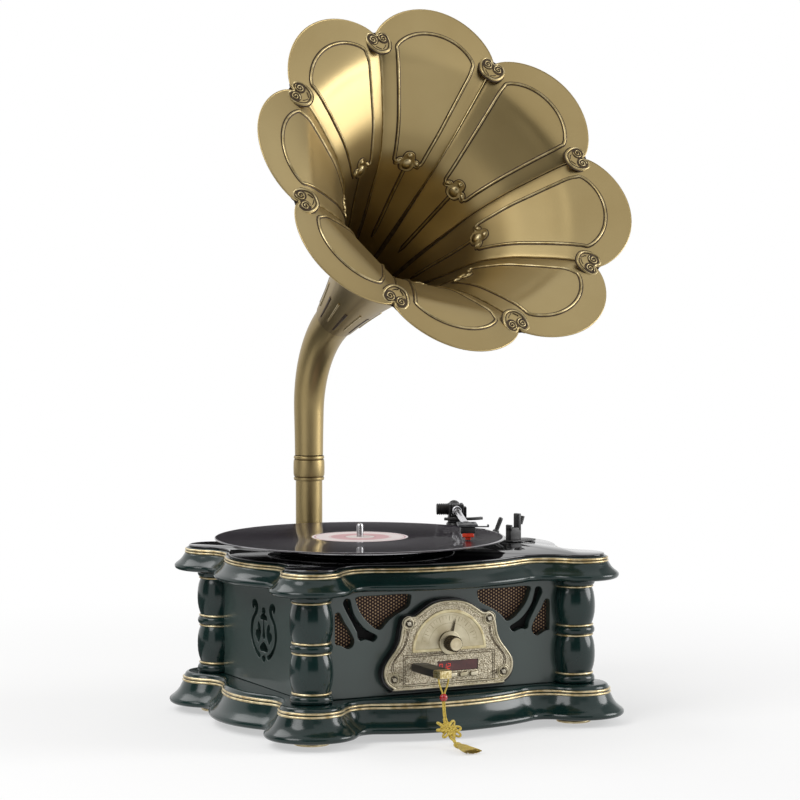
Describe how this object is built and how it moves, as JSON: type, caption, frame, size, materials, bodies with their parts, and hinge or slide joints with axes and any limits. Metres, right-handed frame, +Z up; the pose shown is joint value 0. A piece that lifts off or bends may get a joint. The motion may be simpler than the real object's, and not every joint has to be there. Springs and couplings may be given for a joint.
{
  "type": "horn record player",
  "caption": "Retro record player: curved lacquer boards on turned columns, pierced cabinet, belt-driven platter with tonearm, tuner front, USB stick on a tasselled lanyard, petal horn.",
  "frame": {"origin": "on the floor, below the middle of the outer box measured without the lanyard, its bead, knot and tassel", "axes": "+Z up, -Y towards the tuner front that the viewer sees, +X to the viewer's right"},
  "size_m": [0.4144, 0.4318, 0.7367],
  "materials": {
    "lacquer": "dark teal gloss lacquer with gold lines",
    "foot": "gold paint",
    "deck": "black mirror gloss",
    "alloy": "turned",
    "rubber": "matte",
    "vinyl": "grooved gloss",
    "plastic": "satin black",
    "circuit": "coated board",
    "plate": "satin antique champagne",
    "display": "tinted gloss",
    "cloth": "woven",
    "steel": "polished",
    "stylus": "gloss",
    "cord": "silky cord",
    "bead": "gloss",
    "horn": "satin antique"
  },
  "bodies": {
    "player": {"base_board": "lacquer", "bottom_cover": "plastic", "foot_fl": "foot", "foot_fr": "foot", "foot_rl": "foot", "foot_rr": "foot", "column_fl": "lacquer", "column_fr": "lacquer", "column_rl": "lacquer", "column_rr": "lacquer", "front_panel": "lacquer", "rear_panel": "lacquer", "left_panel": "lacquer", "right_panel": "lacquer", "grille_cloth": "cloth", "speaker_left": "plastic", "speaker_right": "plastic", "top_board": "lacquer", "deck_plate": "deck", "platter_bearing": "alloy", "drive_belt": "rubber", "drive_motor": "alloy", "amplifier_board": "circuit", "jack_plate": "plastic", "dial_housing": "plastic", "dial_plate": "plate", "display_window": "display", "plate_screw_tl": "plate", "plate_screw_tr": "plate", "plate_screw_bl": "plate", "plate_screw_br": "plate", "arm_pedestal": "plastic", "arm_rest": "plastic", "horn_bracket": "lacquer", "horn_pipe": "horn", "horn_collar": "horn"},
    "turning_platter": {"platter": "alloy", "platter_mat": "rubber", "record": "vinyl"},
    "pulley": {"motor_pulley": "alloy"},
    "turret": {"arm_turret": "plastic"},
    "arm": {"arm_tube": "steel", "headshell": "alloy", "cartridge": "stylus", "counterweight": "plastic"},
    "lift": {"lift_bar": "plastic"},
    "lever": {"cue_lever": "plastic"},
    "clip": {"rest_clip": "plastic"},
    "knob": {"tuning_knob": "plastic"},
    "first_button": {"button_1": "plate"},
    "second_button": {"button_2": "plate"},
    "third_button": {"button_3": "plate"},
    "fourth_button": {"button_4": "plate"},
    "stick": {"usb_stick": "plastic", "lanyard": "cord", "lanyard_bead": "bead", "lanyard_knot": "cord", "tassel": "cord"},
    "horn": {"horn_elbow": "horn", "horn_bell": "horn"}
  },
  "joints": [
    {"name": "platter_spin", "type": "hinge", "parent": "player", "child": "turning_platter", "pos_m": [-0.03773, 0.02785, 0.18], "axis": [0, 0, -1], "continuous": true},
    {"name": "pulley_spin", "type": "hinge", "parent": "player", "child": "pulley", "pos_m": [-0.10483, 0.06353, 0.18], "axis": [0, 0, -1], "continuous": true},
    {"name": "arm_swing", "type": "hinge", "parent": "player", "child": "turret", "pos_m": [0.12437, 0.12095, 0.19], "axis": [0, 0, -1], "range_deg": [-37.6, 18]},
    {"name": "arm_tilt", "type": "hinge", "parent": "turret", "child": "arm", "pos_m": [0.12437, 0.12095, 0.2047], "axis": [-0.9114, 0.4115, 0], "range_deg": [0, 4.6]},
    {"name": "cue_turn", "type": "hinge", "parent": "player", "child": "lever", "pos_m": [0.14667, 0.07085, 0.1835], "axis": [0, 1, 0], "range_deg": [0, 35]},
    {"name": "lift_rise", "type": "slide", "parent": "player", "child": "lift", "axis": [0, 0, 1], "range_m": [0, 0.0045]},
    {"name": "clip_turn", "type": "hinge", "parent": "player", "child": "clip", "pos_m": [0.15424, 0.03288, 0.1954], "axis": [-0.23, 0.9732, 0], "range_deg": [-20, 20]},
    {"name": "tuner_turn", "type": "hinge", "parent": "player", "child": "knob", "pos_m": [0.00567, -0.08875, 0.0927], "axis": [0, 1, 0], "range_deg": [-105, 75]},
    {"name": "first_press", "type": "slide", "parent": "player", "child": "first_button", "axis": [0, 1, 0], "range_m": [0, 0.001], "stiffness_N_per_m": 300},
    {"name": "second_press", "type": "slide", "parent": "player", "child": "second_button", "axis": [0, 1, 0], "range_m": [0, 0.001], "stiffness_N_per_m": 300},
    {"name": "third_press", "type": "slide", "parent": "player", "child": "third_button", "axis": [0, 1, 0], "range_m": [0, 0.001], "stiffness_N_per_m": 300},
    {"name": "fourth_press", "type": "slide", "parent": "player", "child": "fourth_button", "axis": [0, 1, 0], "range_m": [0, 0.001], "stiffness_N_per_m": 300},
    {"name": "stick_pull", "type": "slide", "parent": "player", "child": "stick", "axis": [0, -1, 0], "range_m": [0, 0.025]},
    {"name": "horn_swivel", "type": "hinge", "parent": "player", "child": "horn", "pos_m": [-0.01833, 0.19385, 0.264], "axis": [0, 0, 1], "continuous": true}
  ],
  "couplings": [
    {"joint": "pulley_spin", "follows": "platter_spin", "ratio": 9.538},
    {"joint": "arm_tilt", "follows": "lift_rise", "rad_per_m": 17.6},
    {"joint": "cue_turn", "follows": "lift_rise", "rad_per_m": 134}
  ]
}
